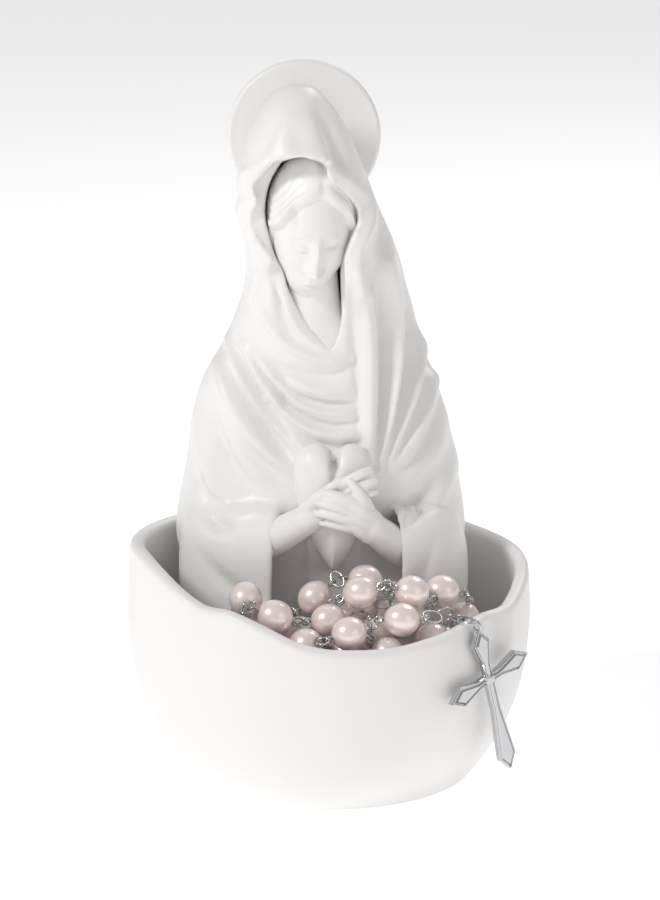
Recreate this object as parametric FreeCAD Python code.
"""Madonna figurine on a rosary dish, with its rosary.

White porcelain figurine: a half figure in a hooded mantle rises from the back of a round dish with
a wavy rim.  Every moulded piece of the figurine is its own solid, seated on its neighbours: dish,
body, mantle drape, sleeves, hood, head, neck, hair, hands, heart and halo.  The rosary that the dish holds
is a chain of pearls on eye pins, joined by wire rings, with a centre medal and a cross that hangs
outside the rim.

Frame: millimetres, +Z up, origin at the middle of the dish's underside.  The figure faces -Y, and
+X is to the right of someone who looks at it.
"""

import FreeCAD
import Part
import math
import os
from FreeCAD import Matrix, Rotation, Vector

# ---------------------------------------------------------------- driving dimensions, mm

# Dish
DISH_RADIUS = 54.5          # outside, at its widest
DISH_WIDEST_Z = 42.0        # height of the widest place
DISH_FOOT_RADIUS = 39.0
DISH_RIM_RADIUS = 53.6      # outside, at the top of the wall
DISH_WALL = 4.0
DISH_FLOOR = 9.5            # height of the floor inside
DISH_FLOOR_CORNER = 9.0     # radius between the floor and the wall
VENT_RADIUS = 3.0           # firing vent under the hollow body

# Height of the rim round the dish: angle from the front towards +X in degrees, height.
RIM = [(0, 48.8), (18, 48.5), (34, 50.3), (46, 52.4), (56, 52.2), (66, 53.4), (80, 56.3), (100, 58.4),
       (125, 58.7), (150, 60.0), (180, 61.0), (210, 61.6), (235, 62.5), (258, 63.6), (276, 64.8), (290, 64.8),
       (302, 62.8), (312, 59.8), (321, 57.0), (331, 57.0), (341, 54.3), (351, 50.6)]

# Felt under the dish
FELT_THICKNESS = 1.2
FELT_RADIUS = 34.0
FELT_PROUD = 0.4            # how far the felt stands below the foot
FELT_GAP = 0.5              # round the felt, in its recess

# Body: height, middle x, middle y, half width, half depth of each oval section
BODY = [(30.0, -2.0, 15.0, 33.5, 22.5), (52.0, -2.0, 15.0, 36.6, 23.5), (72.0, -2.4, 14.5, 38.4, 23.5),
        (90.0, -2.0, 14.0, 35.8, 22.5), (106.0, -2.3, 12.5, 32.0, 20.5), (118.0, -1.5, 10.5, 26.3, 18.0),
        (127.0, -0.8, 8.0, 22.6, 15.5)]
BODY_WALL = 4.0
BODY_CAP = 6.0              # thickness of the shoulders above the hollow
BODY_SOCLE = 0.88           # size of the section on the dish floor, as a share of the first one above it

# Mantle drape over the breast
DRAPE_THICKNESS = 2.6
DRAPE_TOP = 126.0
DRAPE_BOTTOM = 80.0

# Hood: height, middle x, middle y, half width, half depth
HOOD = [(127.0, -0.8, 6.0, 21.6, 16.0), (139.0, -1.2, 1.5, 20.6, 16.5), (150.0, -4.0, -0.5, 18.9, 16.8),
        (160.0, -6.4, -1.8, 17.4, 16.8), (169.0, -7.5, -2.4, 15.2, 15.8), (178.0, -8.2, -2.6, 12.0, 13.0),
        (184.5, -8.2, -2.6, 7.6, 8.4), (187.3, -8.2, -2.6, 4.4, 4.9), (188.4, -8.2, -2.6, 1.6, 1.8)]
HOOD_WALL = 2.4
SMALLEST_SECTION = 1.5      # half width; a narrower one is left off the hollow's top
# Face opening of the hood, seen from the front: x, z
HOOD_OPENING = [(-16.0, 128.0), (-15.0, 136.0), (-19.0, 143.5), (-20.4, 152.0), (-20.0, 159.5), (-17.6, 165.0),
                (-14.5, 168.5), (1.0, 168.5), (7.8, 161.0), (9.6, 153.0), (6.4, 142.0), (9.0, 134.0), (10.0, 128.0)]

# Head and neck
HEAD_CENTRE = Vector(-4.6, -2.4, 150.6)
HEAD_HALF = Vector(12.4, 14.6, 18.4)    # half width, depth and height
HEAD_BOW = 22.0             # degrees, forward
NOSE_LENGTH = 11.0
NOSE_DEPTH = 3.0
NECK_RADIUS = 6.4
NECK_FOOT = Vector(-1.2, 3.0, 118.0)
HAIR_RADIUS = 1.7           # added to the head's own size
HAIR_FRONT = 4.0            # the hair covers the head above this height over its centre

# Halo
HALO_RADIUS = 20.6
HALO_THICKNESS = 2.6
HALO_CENTRE = Vector(-6.7, 16.4, 170.9)
HALO_PEG_RADIUS = 2.5
HALO_PEG_GAP = 0.2
HALO_EDGE = 0.9             # rounding of its edge

# Sleeves: place of the elbow end and the cuff end, and half width and half height there
SLEEVE_ELBOW = (Vector(-29.0, 2.0, 62.0), 12.0, 15.0)
SLEEVE_CUFF = (Vector(-14.0, -8.8, 60.0), 7.6, 16.5)
SLEEVE_MIRROR_X = 1.6       # the other sleeve is the same one, mirrored about this x
SLEEVE_WALL = 1.8
SLEEVE_DEPTH = 9.0          # how deep the cuff is open

# Heart
HEART_CENTRE_X = 1.8
HEART_TOP = 93.0
HEART_POINT = 57.5
HEART_WIDTH = 21.5
HEART_FRONT = -15.4         # y of its front
HEART_DEPTH = 12.0

# Forearms and hands: elbow side, wrist and finger tips
ARM_RIGHT = [(Vector(-15.0, -8.0, 64.0), 5.6), (Vector(-3.0, -13.2, 71.0), 4.2), (Vector(10.5, -15.2, 83.5), 2.6)]
ARM_LEFT = [(Vector(17.5, -8.0, 65.0), 5.6), (Vector(9.5, -14.4, 71.5), 4.4), (Vector(-2.5, -16.6, 77.0), 2.6)]

# Rosary
PEARL_RADIUS = 4.4
PEARL_LENGTH = 9.4
PEARL_BORE = 0.45
PIN_RADIUS = 0.25
EYE_RADIUS = 1.05            # of the loop's centre line at each end of a pin
EYE_RISE = 1.25              # from the pearl's end to the loop's centre
RING_WIRE = 0.34            # radius of the rings' wire
RING_HALF_LENGTH = 1.5      # of the centre line of a small ring, along the chain
RING_HALF_WIDTH = 2.4       # and across it
BIG_RADIUS = 2.5            # of the centre line of a big ring
SLIVER = 0.0005             # shared volume below which two pieces only touch
NEAR_WALL = 42.0            # radius past which a ring may reach the wall
SHAFT_PLAY = 0.1            # beside each pearl as it is lifted past a sleeve
SHAFT_HEIGHT = 115.0
HOOK = 0.42                 # from the middle of a hooking place to either wire's centre line
PEARL_GAP = 0.4             # under the lowest pearls
WALL_GAP = 0.8              # between the pearls and the wall of the dish
LAYER_RISE = 9.6            # height from one layer of pearls to the next
LAYER_RADIUS = 39.6         # of the lowest layer's outer row
LAYER_WIDENS = 2.6          # how much wider each layer is than the one below
ROW_STEP = 10.4             # from the outer row to the inner one
OUTER_ROW = (64.0, -72.0)   # degrees from the front, where the rows begin and end
INNER_ROW = (-50.0, 42.0)
BEND_LIMIT = 44.0           # degrees, between one link and the next
DECADE = 10

# Rough places of the pearls that lie on top of the heap; the strand is settled from them.
LOOP_START = [Vector(-19.1, -34, 54.4), Vector(-12.1, -40.5, 52), Vector(0.2, -34.8, 51.2), Vector(31.9, -24.5, 57.1),
              Vector(39, -17, 48), Vector(39, -17, 33), Vector(37.5, -18, 19)]
LOOP_END = [Vector(33, -22, 42), Vector(30, -33, 42), Vector(17, -40, 43), Vector(3, -38, 42.5), Vector(4, -28, 42.5),
            Vector(17, -25.5, 43), Vector(25.6, -32, 54.8), Vector(11.3, -34, 56.1), Vector(1.5, -27.5, 46.5),
            Vector(12, -26, 47.5), Vector(7.8, -25.3, 56.5), Vector(-6.2, -27.5, 52.9), Vector(-16, -26, 50)]
TAIL = [Vector(18.3, -42, 51.5), Vector(4.2, -43.4, 49.1), Vector(-5.5, -42.5, 44.5), Vector(-18, -38, 44.5),
        Vector(-28, -29, 45)]
LOOP_HELD = {0: 0, 1: 1, 2: 2, 3: 3, 47: -7, 48: -6, 51: -3, 52: -2}   # pearl of the loop: its rough place
TAIL_HELD = 3               # pearls of the tail that are kept near their places
RELAX_TURNS = 1000
HELD_TURNS = 750            # the pull towards the places stops after these
HELD_PULL = 0.2
WALL_SAMPLES = 40

# What is lifted out stays in front of the hands and sleeves: y limit in front of the hands and beside them
CLEAR_FRONT = -25.0
CLEAR_SIDE = -13.5
CLEAR_HALF_WIDTH = 14.0
CLEAR_RUN = 16.0

# Medal in the middle of the rosary
MEDAL_PLACE = Vector(-23.0, -22.5, 46.0)
MEDAL_HALF_WIDTH = 6.0
MEDAL_HALF_HEIGHT = 7.2
MEDAL_THICKNESS = 1.8
MEDAL_HOLE = 1.0
MEDAL_EDGE = 1.6            # from its edge to the middle of a hole
MEDAL_PORTS = (40.0, -40.0, 180.0)   # degrees from its top, where its three holes are

# Rim ring and cross
HANG_ANGLE = 42.0           # degrees round the dish from the front, where the cross hangs
HANG_OFF_WALL = 2.3         # from the widest place of the wall to the middle of the cross
RIM_RING_INNER = 47.0       # radius where its inner end is
RIM_RING_RISE = 1.1         # its middle above the rim
RIM_RING_HALF_WIDTH = 2.3
RIM_RING_HINGE = 47.45      # radius it swings up about
RIM_RING_SWING = 35         # degrees
RIM_RING_EASE = 0.03        # between it and the chain's ring as it swings
BAIL_RADIUS = 1.6
BAIL_WIRE = 0.45
BAIL_PLAY = 0.05
CROSS_LENGTH = 43.0
CROSS_SPAN = 29.0
CROSS_ARM_Z = 15.0          # from its top down to the middle of its arms
CROSS_THICKNESS = 2.0
CROSS_TILT = 17.0           # degrees, how far it leans
CROSS_WAIST = 1.3           # half width of an arm at its narrowest
CROSS_FLARE = 2.9           # half width of an arm near its end
CROSS_POINT = 4.2           # length of the pointed end
CROSS_BOSS = 2.3            # radius of the round middle

PEARL_ROD = 2 * (0.5 * PEARL_LENGTH + EYE_RISE + EYE_RADIUS - HOOK)   # from one hooking place to the next
RING_ROD = 2 * (RING_HALF_LENGTH - HOOK)
BIG_ROD = 2 * (BIG_RADIUS - HOOK)

TINY = 0.02                 # clearance between pieces of the figurine that touch
OVAL_POINTS = 12            # points that an oval section's curve goes through


# ---------------------------------------------------------------- helpers

def oval(z, x, y, half_width, half_depth):
    """A level oval wire."""
    turns = [2 * math.pi * k / OVAL_POINTS for k in range(OVAL_POINTS)]
    curve = Part.BSplineCurve()
    curve.interpolate([Vector(x + half_width * math.cos(t), y + half_depth * math.sin(t), z) for t in turns],
                      PeriodicFlag=True)
    return Part.Wire([curve.toShape()])


def loft(sections):
    return Part.makeLoft([oval(*s) for s in sections], True, False)


def ball(centre, half, turn=None):
    """An ellipsoid, turned about its own centre."""
    shape = Matrix()
    shape.scale(half.x, half.y, half.z)
    solid = Part.makeSphere(1.0).transformGeometry(shape)
    if turn:
        solid.rotate(Vector(), turn[0], turn[1])
    solid.translate(centre)
    return solid


def limb(stations):
    """Balls joined by cones: a tapered limb along a few stations of (place, radius)."""
    solid = None
    for (a, ra), (b, rb) in zip(stations, stations[1:]):
        piece = Part.makeCone(ra, rb, (b - a).Length, a, b - a)
        piece = piece.fuse([Part.makeSphere(ra, a), Part.makeSphere(rb, b)])
        solid = piece if solid is None else solid.fuse(piece)
    return solid


def prism(points, y_from, y_to, smooth=True):
    """A solid with a closed outline seen from the front, from one y to another."""
    pts = [Vector(x, y_from, z) for x, z in points]
    if smooth:
        curve = Part.BSplineCurve()
        curve.interpolate(pts, PeriodicFlag=True)
        wire = Part.Wire([curve.toShape()])
    else:
        wire = Part.makePolygon(pts + pts[:1])
    return Part.Face(wire).extrude(Vector(0, y_to - y_from, 0))


def one_solid(shape):
    """The biggest solid of a cut, so that no crumb stays beside it."""
    try:
        shape = shape.removeSplitter()
    except Part.OCCError:
        pass                                          # the seams between its faces stay, the solid is the same
    return max(shape.Solids, key=lambda s: s.Volume)


def seated(solid, blockers):
    """What is left of a solid beside the pieces that it is seated on."""
    for blocker in blockers:
        solid = one_solid(solid.cut(blocker))
    return solid


def on_circle(angle, radius, z):
    """The point at an angle from the front towards +X."""
    a = math.radians(angle)
    return Vector(radius * math.sin(a), -radius * math.cos(a), z)


def export(name, shape):
    shape.exportStep(os.path.join("parts", name + ".step"))


# ---------------------------------------------------------------- dish

def dish_profile(inset, bottom):
    """Half section of the dish's round body, inset from its outside, from a height up past the rim."""
    top = max(h for _, h in RIM) + 8.0
    shoulder = DISH_FLOOR_CORNER if inset else 0.0
    foot = Vector(DISH_FOOT_RADIUS - (inset + shoulder if inset else 0), 0, bottom)
    belly = Vector(DISH_RADIUS - inset, 0, DISH_WIDEST_Z)
    half = 0.5 * DISH_WIDEST_Z + 0.5 * bottom
    mid = Vector(0.26 * DISH_FOOT_RADIUS + 0.74 * DISH_RADIUS - inset, 0, 0.84 * half)
    rim = Vector(DISH_RIM_RADIUS - inset, 0, top)
    side = Part.BSplineCurve()
    side.interpolate([foot, mid, belly, rim])
    edges = [side.toShape(), Part.makeLine(rim, Vector(0, 0, top)), Part.makeLine(Vector(0, 0, top), Vector(0, 0, bottom)),
             Part.makeLine(Vector(0, 0, bottom), foot)]
    return Part.Face(Part.Wire(Part.__sortEdges__(edges)))


def turned(face):
    return face.revolve(Vector(), Vector(0, 0, 1), 360)


def above_rim():
    """Everything above the wavy rim: a ring whose lower face follows the rim's heights."""
    reach = DISH_RADIUS + 6.0
    inner = DISH_RADIUS - DISH_WALL - 10.0
    curves = []
    for radius in (inner, reach):
        curve = Part.BSplineCurve()
        curve.interpolate([on_circle(a, radius, h) for a, h in RIM], PeriodicFlag=True)
        curves.append(curve.toShape())
    return Part.makeRuledSurface(*curves).extrude(Vector(0, 0, 60))


def make_dish():
    dish = turned(dish_profile(0.0, FELT_PROUD)).cut(turned(dish_profile(DISH_WALL, DISH_FLOOR)))
    dish = dish.cut(above_rim())
    recess = Part.makeCylinder(FELT_RADIUS + FELT_GAP, FELT_THICKNESS - FELT_PROUD, Vector(0, 0, FELT_PROUD))
    vent = Part.makeCylinder(VENT_RADIUS, DISH_FLOOR, Vector(BODY[0][1], BODY[0][2], 0))
    return one_solid(dish.cut([recess, vent]))


def make_felt():
    return Part.makeCylinder(FELT_RADIUS, FELT_THICKNESS)


# ---------------------------------------------------------------- figure

def body_sections(grow):
    """The body's ovals, grown all round, from the dish floor to the shoulders."""
    z, x, y, w, d = BODY[0]
    socle = (DISH_FLOOR, x, y, w * BODY_SOCLE, d * BODY_SOCLE)
    return [(z, x, y, w + grow, d + grow) for z, x, y, w, d in [socle, *BODY]]


def make_body():
    outer = loft(body_sections(0.0))
    hollow = loft(body_sections(-BODY_WALL))
    lid_z = BODY[-1][0] - BODY_CAP
    hollow = hollow.common(Part.makeBox(200, 200, lid_z, Vector(-100, -100, 0)))
    return outer.cut(hollow)


def make_drape(body_outer):
    """The mantle across the breast: a skin on the front of the body, open at the throat."""
    skin = loft(body_sections(DRAPE_THICKNESS)).cut(loft(body_sections(TINY)))
    outline = [(-34.0, DRAPE_BOTTOM + 6), (-30.0, 104.0), (-23.0, 118.0), (-16.0, DRAPE_TOP), (-9.0, 122.0),
               (0.5, 112.5), (6.0, 119.0), (11.0, DRAPE_TOP), (20.0, 118.0), (28.0, 104.0), (32.0, DRAPE_BOTTOM + 6),
               (0.0, DRAPE_BOTTOM)]
    return one_solid(skin.common(prism(outline, -40, 10)))


def hood_sections(grow):
    return [(z, x, y, w + grow, d + grow) for z, x, y, w, d in HOOD]


def hood_volume(grow):
    return loft([section for section in hood_sections(grow) if section[3] > SMALLEST_SECTION])

def make_hood():
    inside = hood_volume(-HOOD_WALL)
    inside.translate(Vector(0, 0, -TINY))
    hood = hood_volume(0.0).cut(inside)
    hood = hood.cut(prism(HOOD_OPENING, -40, HEAD_CENTRE.y))
    above = Part.makeBox(200, 200, 100, Vector(-100, -100, BODY[-1][0] + TINY))
    socket = halo_peg(HALO_PEG_RADIUS + HALO_PEG_GAP)
    return one_solid(hood.common(above).cut(socket))


def bow(shape):
    """Leans a piece of the head forward about the head's centre."""
    shape.rotate(HEAD_CENTRE, Vector(1, 0, 0), HEAD_BOW)
    return shape


def head_volume(grow=0.0):
    half = HEAD_HALF + Vector(grow, grow, grow)
    return bow(ball(HEAD_CENTRE, half))


def make_head():
    skull = head_volume()
    brow = HEAD_CENTRE + Vector(0, -HEAD_HALF.y + 1.6, 0.5)
    tip = HEAD_CENTRE + Vector(0, -HEAD_HALF.y - NOSE_DEPTH + 2.0, 0.5 - NOSE_LENGTH)
    nose = bow(limb([(brow, 1.5), (tip, 1.9)]))
    return one_solid(skull.fuse(nose).cut(make_neck()))


def make_neck():
    top = HEAD_CENTRE + Vector(0, 0, -0.5 * HEAD_HALF.z)
    neck = Part.makeCone(NECK_RADIUS + 1.5, NECK_RADIUS, (top - NECK_FOOT).Length, NECK_FOOT, top - NECK_FOOT)
    return neck


def make_hair(head, hood):
    cap = head_volume(HAIR_RADIUS).cut(head_volume(TINY))
    above = Part.makeBox(200, 200, 100, HEAD_CENTRE + Vector(-100, -100, HAIR_FRONT))
    return one_solid(cap.common(bow(above)).cut([head, hood]))


def halo_peg(radius):
    return Part.makeCylinder(radius, HALO_CENTRE.y - (HOOD[3][2] + HOOD[3][4]) + HOOD_WALL + 1.0, HALO_CENTRE,
                             Vector(0, -1, 0))


def make_halo(hood):
    disc = Part.makeCylinder(HALO_RADIUS, HALO_THICKNESS, HALO_CENTRE, Vector(0, -1, 0))
    disc.translate(Vector(0, HALO_THICKNESS, 0))
    disc = disc.makeFillet(HALO_EDGE, [e for e in disc.Edges if isinstance(e.Curve, Part.Circle)])
    solid = disc.fuse(halo_peg(HALO_PEG_RADIUS)).cut(hood_volume(TINY).cut(halo_peg(HALO_PEG_RADIUS + HALO_PEG_GAP)))
    return one_solid(solid)


def sleeve_stations(side):
    """Middle, half width and half height at the elbow and at the cuff; side is -1 for her right sleeve."""
    places = []
    for place, w, h in (SLEEVE_ELBOW, SLEEVE_CUFF):
        x = place.x if side < 0 else 2 * SLEEVE_MIRROR_X - place.x
        places.append((Vector(x, place.y, place.z), w, h))
    return places


def upright_oval(place, way, half_width, half_height):
    """An oval that stands across a level way."""
    wire = oval(0, 0, 0, half_height, half_width)
    across = Vector(0, 0, 1).cross(way)
    turn = Rotation(Vector(0, 0, 1), across, way, "ZXY")
    wire.Placement = FreeCAD.Placement(place, turn)
    return wire


def make_sleeve(side, blockers):
    (elbow, w0, h0), (cuff, w1, h1) = sleeve_stations(side)
    way = Vector(cuff.x - elbow.x, cuff.y - elbow.y, 0)
    outside = Part.makeLoft([upright_oval(elbow, way, w0, h0), upright_oval(elbow + way * 0.6, way, 0.9 * w0, h0),
                             upright_oval(cuff, way, w1, h1)], True, False)
    unit = Vector(way).normalize()
    mouth = [upright_oval(cuff + unit * ahead, way, share * (w1 - SLEEVE_WALL), share * (h1 - SLEEVE_WALL))
             for ahead, share in ((-SLEEVE_DEPTH, 0.75), (1.0, 1.0))]
    return seated(outside.cut(Part.makeLoft(mouth, True, True)), blockers)


def make_heart(blockers):
    """Two round lobes that run down into one point."""
    lobe = HEART_WIDTH / 4.0
    outline = [(0, HEART_POINT), (0.62 * lobe, HEART_POINT + 8.5), (1.75 * lobe, HEART_TOP - 14.5), (2 * lobe, HEART_TOP - 7.0),
               (1.7 * lobe, HEART_TOP - 1.9), (lobe, HEART_TOP), (0.35 * lobe, HEART_TOP - 1.6), (0, HEART_TOP - 4.6)]
    side = [(HEART_CENTRE_X + x, z) for x, z in outline]
    other = [(HEART_CENTRE_X - x, z) for x, z in reversed(outline[1:-1])]
    slab = prism(side + other, HEART_FRONT, HEART_FRONT + HEART_DEPTH, smooth=False)
    middle = HEART_FRONT + 0.5 * HEART_DEPTH
    pillow = ball(Vector(HEART_CENTRE_X, middle, 0.5 * (HEART_TOP + HEART_POINT)),
                  Vector(0.62 * HEART_WIDTH, 0.5 * HEART_DEPTH, 0.56 * (HEART_TOP - HEART_POINT)))
    return seated(slab.common(pillow), blockers)


def make_arm(stations, blockers):
    """Forearm and hand: a tapered limb that ends in four fingers side by side."""
    solid = limb(stations[:2])
    wrist, tip = stations[1][0], stations[2][0]
    along = (tip - wrist).normalize()
    across = along.cross(Vector(0, -1, 0)).normalize()
    finger = stations[2][1] * 0.5
    for k in range(4):
        side = across * ((k - 1.5) * finger * 1.7)
        solid = solid.fuse(limb([(wrist + side, finger * 1.5), (tip + side - along * abs(k - 1.2), finger)]))
    return seated(solid, blockers)


# ---------------------------------------------------------------- rosary

def wall_table():
    """Points (radius, height) up the inside of the dish's wall."""
    profile = dish_profile(DISH_WALL, DISH_FLOOR)
    side = max((e for e in profile.Edges if isinstance(e.Curve, Part.BSplineCurve)), key=lambda e: e.Length)
    return [(p.x, p.z) for p in side.discretize(WALL_SAMPLES)]


def wall_limit(wall, seen, size, z):
    """How far out the middle of a ball may be at a height."""
    key = (size, round(2 * z))
    if key not in seen:
        reach = size + WALL_GAP
        limits = [r - math.sqrt(reach ** 2 - (h - z) ** 2) for r, h in wall if abs(h - z) < reach]
        seen[key] = min(limits) if limits else DISH_RADIUS - DISH_WALL - reach
    return seen[key]


def back_limit(x):
    """How far back a pearl may lie if it is to be lifted out past the hands and sleeves."""
    beside = min(max((abs(x - HEART_CENTRE_X) - CLEAR_HALF_WIDTH) / CLEAR_RUN, 0.0), 1.0)
    return CLEAR_FRONT + beside * (CLEAR_SIDE - CLEAR_FRONT)


def pull_inside(place, size, wall, seen):
    """The step that brings a ball back between the floor, the wall and the figure."""
    step = Vector(0, 0, max(0.0, DISH_FLOOR + size + PEARL_GAP - place.z))
    out = math.hypot(place.x, place.y)
    limit = wall_limit(wall, seen, size, place.z + step.z)
    if out > limit:
        step -= Vector(place.x, place.y, 0) * ((out - limit) / out)
    step.y -= max(0.0, place.y + size - PEARL_RADIUS - back_limit(place.x))
    return step


def heap_route():
    """Rough run of the loop from the medal and back to it: along the top, down at the right, to and
    fro in the layers and up again."""
    route = list(LOOP_START)
    for layer in range(3):
        z = DISH_FLOOR + PEARL_RADIUS + PEARL_GAP + layer * LAYER_RISE
        outer = LAYER_RADIUS + layer * LAYER_WIDENS
        route += [on_circle(OUTER_ROW[0] + (OUTER_ROW[1] - OUTER_ROW[0]) * k / 6.0, outer, z) for k in range(7)]
        route += [on_circle(INNER_ROW[0] + (INNER_ROW[1] - INNER_ROW[0]) * k / 3.0, outer - ROW_STEP, z)
                  for k in range(4)]
    return route + LOOP_END


def spread(route, count):
    """Places spread evenly along a route."""
    lengths = [0.0]
    for a, b in zip(route, route[1:]):
        lengths.append(lengths[-1] + (b - a).Length)
    places, k = [], 0
    for i in range(count):
        want = lengths[-1] * i / (count - 1)
        while k < len(route) - 2 and lengths[k + 1] < want:
            k += 1
        share = (want - lengths[k]) / (lengths[k + 1] - lengths[k])
        places.append(route[k] + (route[k + 1] - route[k]) * share)
    return places


def loop_places():
    """Rough places of the 54 pearls of the loop."""
    route = heap_route()
    lead, trail = len(LOOP_START), 7
    inner = spread(route[lead - 1:len(route) - trail + 1], 5 * DECADE + 4 - lead - trail + 2)
    return LOOP_START + inner[1:-1] + LOOP_END[-trail:]


def string_up(centres, gaps, start, end):
    """Nodes and rods (kind, length, roll) of one strand: pearls with the rings between them."""
    nodes, rods = [start], []
    stops = [start] + centres + [end]
    for i, kinds in enumerate(gaps):
        a, b = stops[i], stops[i + 1]
        way = (b - a).normalize()
        tip_a = a + way * (PEARL_ROD / 2 if i else 0.0)
        tip_b = b - way * (PEARL_ROD / 2 if i < len(gaps) - 1 else 0.0)
        if i:
            nodes.append(tip_a)
            rods.append(("pearl", PEARL_ROD, 0))
        for k, kind in enumerate(kinds):
            nodes.append(tip_a + (tip_b - tip_a) * ((k + 1.0) / len(kinds)))
            roll = (k + 1) % 2 if i else k % 2
            rods.append((kind, RING_ROD if kind == "ring" else BIG_ROD, roll))
    return nodes, rods


def settle(nodes, rods, fixed, held, wall):
    """Settles the strands: links keep their lengths, pearls and rings keep apart, all stay in the dish."""
    size = {"pearl": PEARL_RADIUS, "ring": 1.75, "big": 2.1, "medal": 3.6}
    bend = math.cos(math.radians(BEND_LIMIT))
    bends = [(a, d, math.sqrt(m * m + n * n + 2 * m * n * bend))
             for (ki, m, _, a, b), (kj, n, _, c, d) in zip(rods, rods[1:]) if b == c and "medal" not in (ki, kj)]
    for _, length, _, a, b in rods[-3:]:
        beyond = {0: 1}
        bends += [(far, beyond.get(port, port - 1), length + 0.6 * RING_ROD) for port, far in ((a, b), (b, a))]
    near, seen = [], {}
    for turn in range(RELAX_TURNS):
        mids = [(nodes[a] + nodes[b]) * 0.5 for _, _, _, a, b in rods]
        if turn % 15 == 0:
            near = [(i, j) for i in range(len(rods)) for j in range(i + 1, len(rods))
                    if not {rods[i][3], rods[i][4]} & {rods[j][3], rods[j][4]} and (mids[i] - mids[j]).Length < 17.0]
        if turn < HELD_TURNS:
            for i, place in held.items():
                step = (place - mids[i]) * HELD_PULL
                for n in rods[i][3:]:
                    nodes[n] = nodes[n] + step
        for _ in range(1 if turn < HELD_TURNS else 3):
            for i, j in near:
                (ki, _, _, a, b), (kj, _, _, c, d) = rods[i], rods[j]
                apart = size[ki] + size[kj] + (0.75 if ki == kj == "pearl" else 0.1)
                gap = (nodes[a] + nodes[b] - nodes[c] - nodes[d]) * 0.5
                if gap.Length < apart:
                    step = gap * (0.5 * (apart - gap.Length) / gap.Length)
                    nodes[a], nodes[b] = nodes[a] + step, nodes[b] + step
                    nodes[c], nodes[d] = nodes[c] - step, nodes[d] - step
        for kind, _, _, a, b in rods:
            if a not in fixed and b not in fixed:
                step = pull_inside((nodes[a] + nodes[b]) * 0.5, size[kind], wall, seen)
                nodes[a], nodes[b] = nodes[a] + step, nodes[b] + step
        for a, b, least in bends:
            span = nodes[b] - nodes[a]
            if span.Length < least:
                step = span * (0.5 * (span.Length - least) / span.Length)
                if a not in fixed:
                    nodes[a] = nodes[a] + step
                nodes[b] = nodes[b] - step
        for sweep in range(6):
            for _, length, _, a, b in (rods if sweep % 2 else rods[::-1]):
                span = nodes[b] - nodes[a]
                step = span * (0.5 * (span.Length - length) / span.Length)
                if a not in fixed:
                    nodes[a] = nodes[a] + step * (2 if b in fixed else 1)
                if b not in fixed:
                    nodes[b] = nodes[b] - step * (2 if a in fixed else 1)
    return nodes


def medal_port(degrees):
    """Middle of a hole of the medal and the hooking place beyond it, in the medal's own plane."""
    a = math.radians(degrees)
    way = Vector(math.sin(a), math.cos(a), 0)
    edge = 1.0 / math.hypot(way.x / MEDAL_HALF_WIDTH, way.y / MEDAL_HALF_HEIGHT)
    hole = way * (edge - MEDAL_EDGE)
    return hole, hole + way * (MEDAL_HOLE - RING_WIRE - 0.06 + HOOK)


def lay_rosary():
    """Nodes and rods (kind, length, roll, first node, second node) of the whole rosary."""
    ports = [medal_port(d)[1] for d in MEDAL_PORTS]
    turn = Rotation(Vector(0, 0, 1), 75)
    starts = [MEDAL_PLACE + turn.multVec(p) for p in ports]
    loop_gaps = [["ring", "ring"]] + [["ring"] for _ in range(5 * DECADE + 3)] + [["ring", "ring"]]
    for k in range(1, 5):
        middle = k * (DECADE + 1)                     # the pearl between two decades
        loop_gaps[middle - 1] = ["ring"] * 3
        loop_gaps[middle] = ["ring"] * 3
    loop_gaps[3] = ["big"] * 5
    tail_gaps = [["big", "big"]] + [["ring"]] * 4 + [["ring", "ring"]]
    loop = loop_places()
    first, rods_a = string_up(loop, loop_gaps, starts[0], starts[1])
    second, rods_b = string_up(TAIL, tail_gaps, rim_ring_node(), starts[2])
    shift = len(first)
    rods = [(k, m, r, i, i + 1) for i, (k, m, r) in enumerate(rods_a)]
    rods += [(k, m, r, shift + i, shift + i + 1) for i, (k, m, r) in enumerate(rods_b)]
    a, b, c = 0, shift - 1, shift + len(second) - 1
    rods += [("medal", (ports[i] - ports[j]).Length, 0, m, n) for i, j, m, n in ((0, 1, a, b), (1, 2, b, c), (0, 2, a, c))]
    pearls = [i for i, rod in enumerate(rods) if rod[0] == "pearl"]
    held = {pearls[k]: (LOOP_START + LOOP_END)[v] for k, v in LOOP_HELD.items()}
    held.update({pearls[len(loop) + k]: TAIL[k] for k in range(TAIL_HELD)})
    return settle(first + second, rods, {shift}, held, wall_table()), rods


def rim_height(degrees):
    """Height of the rim at an angle, straight between the given places."""
    for (a, h), (b, k) in zip(RIM, RIM[1:]):
        if a <= degrees <= b:
            return h + (k - h) * (degrees - a) / (b - a)
    return RIM[-1][1]


def rim_ring_z():
    return rim_height(HANG_ANGLE) + RIM_RING_RISE


def rim_ring_node():
    """Where the chain hooks into the ring that lies over the rim."""
    return on_circle(HANG_ANGLE, RIM_RING_INNER + HOOK, rim_ring_z())


def link_ring(half_length, half_width, wire):
    """A flat wire ring in the x-y plane, its long way along x or y."""
    bend = min(half_length, half_width)
    along = half_length > half_width
    run = (half_length if along else half_width) - bend
    if run < 1e-6:
        return Part.makeTorus(bend, wire)
    way = Vector(1, 0, 0) if along else Vector(0, 1, 0)
    side = Vector(0, 1, 0) if along else Vector(1, 0, 0)
    wires = []
    for sign in (1, -1):
        start = math.degrees(math.atan2(way.y * sign, way.x * sign)) - 90
        half = Part.makeTorus(bend, wire, Vector(), Vector(0, 0, 1), 0, 360, 180)
        half.rotate(Vector(), Vector(0, 0, 1), start)
        half.translate(way * (run * sign))
        wires += [half, Part.makeCylinder(wire, 2 * run, side * (bend * sign) - way * run, way)]
    return wires[0].fuse(wires[1:]).removeSplitter()


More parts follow.
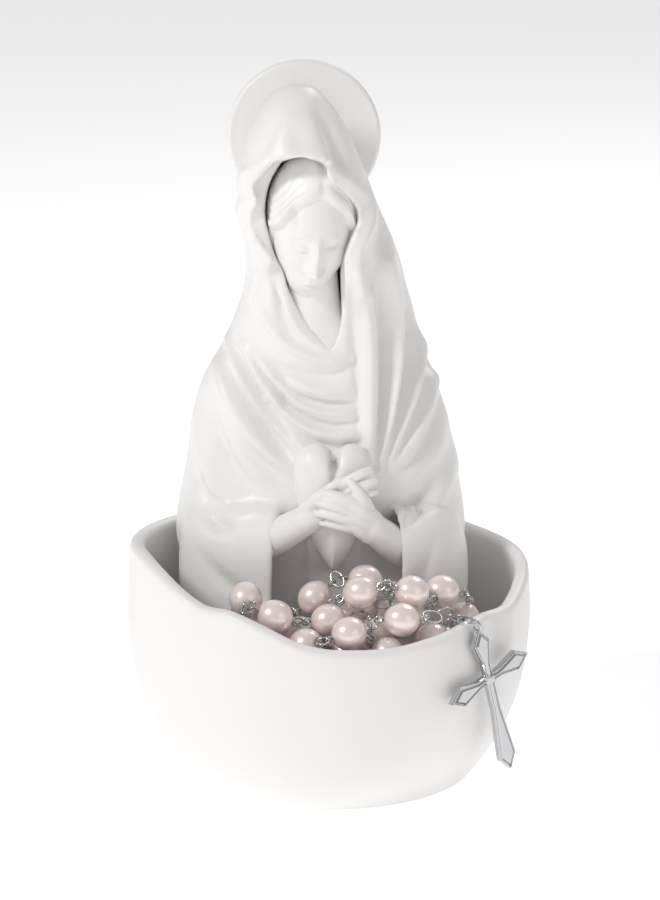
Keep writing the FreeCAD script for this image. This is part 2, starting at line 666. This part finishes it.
def pearl_solid():
    """An egg shape along x with a fine bore, turned in one go."""
    start = math.asin(PEARL_BORE / PEARL_RADIUS)
    arc = Part.Arc(Part.Ellipse(Vector(), 0.5 * PEARL_LENGTH, PEARL_RADIUS), start, math.pi - start)
    outline = Part.Wire([arc.toShape(), Part.makeLine(arc.EndPoint, arc.StartPoint)])
    return Part.Face(outline).revolve(Vector(), Vector(1, 0, 0), 360)


def pin_solid():
    """A straight pin along x with a round eye at each end, the eyes upright."""
    eye = 0.5 * PEARL_LENGTH + EYE_RISE
    reach = eye - EYE_RADIUS
    pin = Part.makeCylinder(PIN_RADIUS, 2 * reach, Vector(-reach, 0, 0), Vector(1, 0, 0))
    return pin.fuse([Part.makeTorus(EYE_RADIUS, PIN_RADIUS, Vector(x, 0, 0), Vector(0, 1, 0)) for x in (-eye, eye)])


def placed(solid, middle, along, up, roll):
    """A copy with its x way along the chain; roll 0 stands its z way up, roll 1 lays it level."""
    side = up.cross(along)
    turn = Rotation(along, side, up, "XYZ") if roll else Rotation(along, up * -1.0, side, "XYZ")
    copy = solid.copy()
    copy.Placement = FreeCAD.Placement(middle, turn)
    return copy


def chain_ups(nodes, rods):
    """An up way for each rod, carried along the chain so that neighbours stay square to each other."""
    (_, _, _, a, b), (_, _, _, _, c), _ = rods[-3:]
    flat = (nodes[b] - nodes[a]).cross(nodes[c] - nodes[a]).normalize()
    ups, up = [], Vector(0, 0, 1)
    for _, _, roll, m, n in rods:
        along = (nodes[n] - nodes[m]).normalize()
        lean = up + Vector(0, 0, 0.35)
        if {m, n} & {a, b, c}:                        # the rings in the medal stand square to it
            lean = flat.cross(along) if roll else flat
        up = (lean - along * lean.dot(along)).normalize()
        ups.append((along, up))
        up = up if up.z > 0 else up * -1.0
    return ups


def make_medal(nodes, rods):
    disc = Part.makeCylinder(1.0, MEDAL_THICKNESS, Vector(0, 0, -0.5 * MEDAL_THICKNESS))
    shape = Matrix()
    shape.scale(MEDAL_HALF_WIDTH, MEDAL_HALF_HEIGHT, 1.0)
    disc = disc.transformGeometry(shape)
    holes = [Part.makeCylinder(MEDAL_HOLE, 20, medal_port(d)[0] - Vector(0, 0, 10)) for d in MEDAL_PORTS]
    disc = disc.cut(holes)
    (_, _, _, a, b), (_, _, _, _, c), _ = rods[-3:]
    top = (nodes[a] + nodes[b]) * 0.5
    up_way = (top - nodes[c]).normalize()
    across = (nodes[a] - nodes[b]).normalize()
    ports = [medal_port(d)[1] for d in MEDAL_PORTS]
    disc.Placement = FreeCAD.Placement(top - up_way * ports[0].y, Rotation(across, up_way, across.cross(up_way), "XYZ"))
    return disc


def make_rim_ring(wire=RING_WIRE):
    outer = DISH_RADIUS + HANG_OFF_WALL
    half = 0.5 * (outer - RIM_RING_INNER)
    ring = link_ring(half, RIM_RING_HALF_WIDTH, wire)
    ring.rotate(Vector(), Vector(0, 0, 1), HANG_ANGLE - 90)
    ring.translate(on_circle(HANG_ANGLE, 0.5 * (outer + RIM_RING_INNER), rim_ring_z()))
    return ring


def swung_rim_rings():
    """The rim ring on its way up, a little fuller, for the chain's rings to clear."""
    hinge = on_circle(HANG_ANGLE, RIM_RING_HINGE, rim_ring_z())
    axis = on_circle(HANG_ANGLE, 1.0, 0.0).cross(Vector(0, 0, 1))
    rings = []
    for degrees in range(5, RIM_RING_SWING + 1, 5):
        ring = make_rim_ring(RING_WIRE + RIM_RING_EASE)
        ring.rotate(hinge, axis, degrees)
        rings.append(ring)
    return rings


def cross_arm(length):
    """One arm upwards from the middle, flared and pointed."""
    waist = 0.4 * (length - CROSS_POINT)
    half = [(CROSS_WAIST, 0.0), (CROSS_WAIST, waist), (CROSS_FLARE, length - CROSS_POINT)]
    outline = half + [(0.0, length)] + [(-x, z) for x, z in reversed(half)]
    return prism(outline, -0.5 * CROSS_THICKNESS, 0.5 * CROSS_THICKNESS, smooth=False)


def make_cross():
    """Cross with its bail: the bail's inside hangs on the outer end of the rim ring."""
    bail_rise = BAIL_RADIUS + 0.3
    arms = [(0, CROSS_ARM_Z), (90, 0.5 * CROSS_SPAN), (180, CROSS_LENGTH - CROSS_ARM_Z), (270, 0.5 * CROSS_SPAN)]
    cross = Part.makeCylinder(CROSS_BOSS, CROSS_THICKNESS + 0.8, Vector(0, -0.5 * CROSS_THICKNESS - 0.4, 0), Vector(0, 1, 0))
    for degrees, length in arms:
        arm = cross_arm(length)
        arm.rotate(Vector(), Vector(0, 1, 0), degrees)
        cross = cross.fuse(arm)
    cross.translate(Vector(0, 0, -CROSS_ARM_Z - bail_rise + 0.9))
    cross = cross.fuse(Part.makeTorus(BAIL_RADIUS, BAIL_WIRE, Vector(), Vector(1, 0, 0)))
    hook = BAIL_RADIUS - BAIL_WIRE - RING_WIRE - BAIL_PLAY
    cross.translate(Vector(0, 0, -hook))
    cross.rotate(Vector(), Vector(0, 1, 0), -CROSS_TILT)
    cross.rotate(Vector(), Vector(0, 0, 1), HANG_ANGLE)
    cross.translate(on_circle(HANG_ANGLE, DISH_RADIUS + HANG_OFF_WALL, rim_ring_z()))
    return one_solid(cross)


def relieved(ring, others):
    """The ring, its wire eased wherever it would press into a neighbour."""
    for other in others:
        if ring.BoundBox.intersect(other.BoundBox) and ring.common(other).Volume > SLIVER:
            ring = max(ring.cut(other).Solids, key=lambda solid: solid.Volume)
    return ring


def make_rosary(dish):
    """All pieces of the rosary by name."""
    nodes, rods = lay_rosary()
    ups = chain_ups(nodes, rods)
    pearl, pin = pearl_solid(), pin_solid()
    rings = {"ring": link_ring(RING_HALF_LENGTH, RING_HALF_WIDTH, RING_WIRE), "big": link_ring(BIG_RADIUS, BIG_RADIUS, RING_WIRE)}
    groups = {"pearls_decade_%d" % (k + 1): [] for k in range(5)}
    groups.update({"pearls_our_father": [], "pearls_tail": [], "bead_pins": [], "rings_small": [], "rings_big": []})
    count = 0
    for (kind, _, roll, a, b), (along, up) in zip(rods, ups):
        middle = (nodes[a] + nodes[b]) * 0.5
        if kind == "pearl":
            count += 1
            loop = count <= 5 * DECADE + 4
            if loop and count % (DECADE + 1) or not loop and count in range(5 * DECADE + 6, 5 * DECADE + 9):
                name = "pearls_decade_%d" % ((count - 1) // (DECADE + 1) + 1) if loop else "pearls_tail"
            else:
                name = "pearls_our_father"
            groups[name].append(placed(pearl, middle, along, up, 1))
            groups["bead_pins"].append(placed(pin, middle, along, up, 1))
        elif kind in rings:
            groups["rings_small" if kind == "ring" else "rings_big"].append(placed(rings[kind], middle, along, up, roll))
    medal, rim_ring = make_medal(nodes, rods), make_rim_ring()
    others = [medal, rim_ring, *swung_rim_rings()] + [solid for name, solids in groups.items() if not name.startswith("rings") for solid in solids]
    for name in ("rings_small", "rings_big"):
        for place, ring in enumerate(groups[name]):
            near_wall = math.hypot(ring.BoundBox.Center.x, ring.BoundBox.Center.y) > NEAR_WALL
            groups[name][place] = relieved(ring, others + [dish] * near_wall)
            others.append(groups[name][place])
    pieces = {name: Part.makeCompound(solids) for name, solids in groups.items()}
    pieces.update({"centre_medal": medal, "rim_ring": rim_ring, "cross": make_cross()})
    return pieces


def lifted_past(solid, pieces):
    """The solid eased wherever a pearl or ring would rub on it as the rosary is lifted straight out."""
    for piece in pieces:
        for bead in piece.Solids:
            box = bead.BoundBox
            reach = 0.5 * max(box.XLength, box.YLength) + SHAFT_PLAY
            shaft = Part.makeCylinder(reach, SHAFT_HEIGHT, box.Center)
            if shaft.BoundBox.intersect(solid.BoundBox) and shaft.common(solid).Volume > SLIVER:
                solid = max(solid.cut(shaft).Solids, key=lambda rest: rest.Volume)
    return solid


def main():
    os.makedirs("parts", exist_ok=True)
    dish = make_dish()
    export("dish", dish)
    export("base_felt", make_felt())
    body = one_solid(make_body().cut(dish))
    body_outer = loft(body_sections(TINY))
    neck = make_neck().cut(body_outer)
    drape = make_drape(body_outer)
    hood = make_hood()
    head = make_head()
    hair = make_hair(head, hood)
    halo = make_halo(hood)
    sleeves = [make_sleeve(side, [body_outer, drape]) for side in (-1, 1)]
    heart = make_heart([body_outer, drape, *sleeves])
    left = make_arm(ARM_LEFT, [body_outer, drape, *sleeves, heart])
    right = make_arm(ARM_RIGHT, [body_outer, drape, *sleeves, heart, left])
    rosary = make_rosary(dish)
    beads = [rosary[name] for name in sorted(rosary) if name.startswith(("pearls", "rings"))]
    sleeves = [lifted_past(sleeve, beads) for sleeve in sleeves]
    for name, solid in [("body", body), ("neck", neck), ("mantle_drape", drape), ("hood", hood), ("head", head), ("hair", hair),
                        ("halo", halo), ("sleeve_right", sleeves[0]), ("sleeve_left", sleeves[1]), ("heart", heart),
                        ("hand_left", left), ("hand_right", right)]:
        export(name, solid)
    for name, piece in rosary.items():
        export(name, piece)


main()
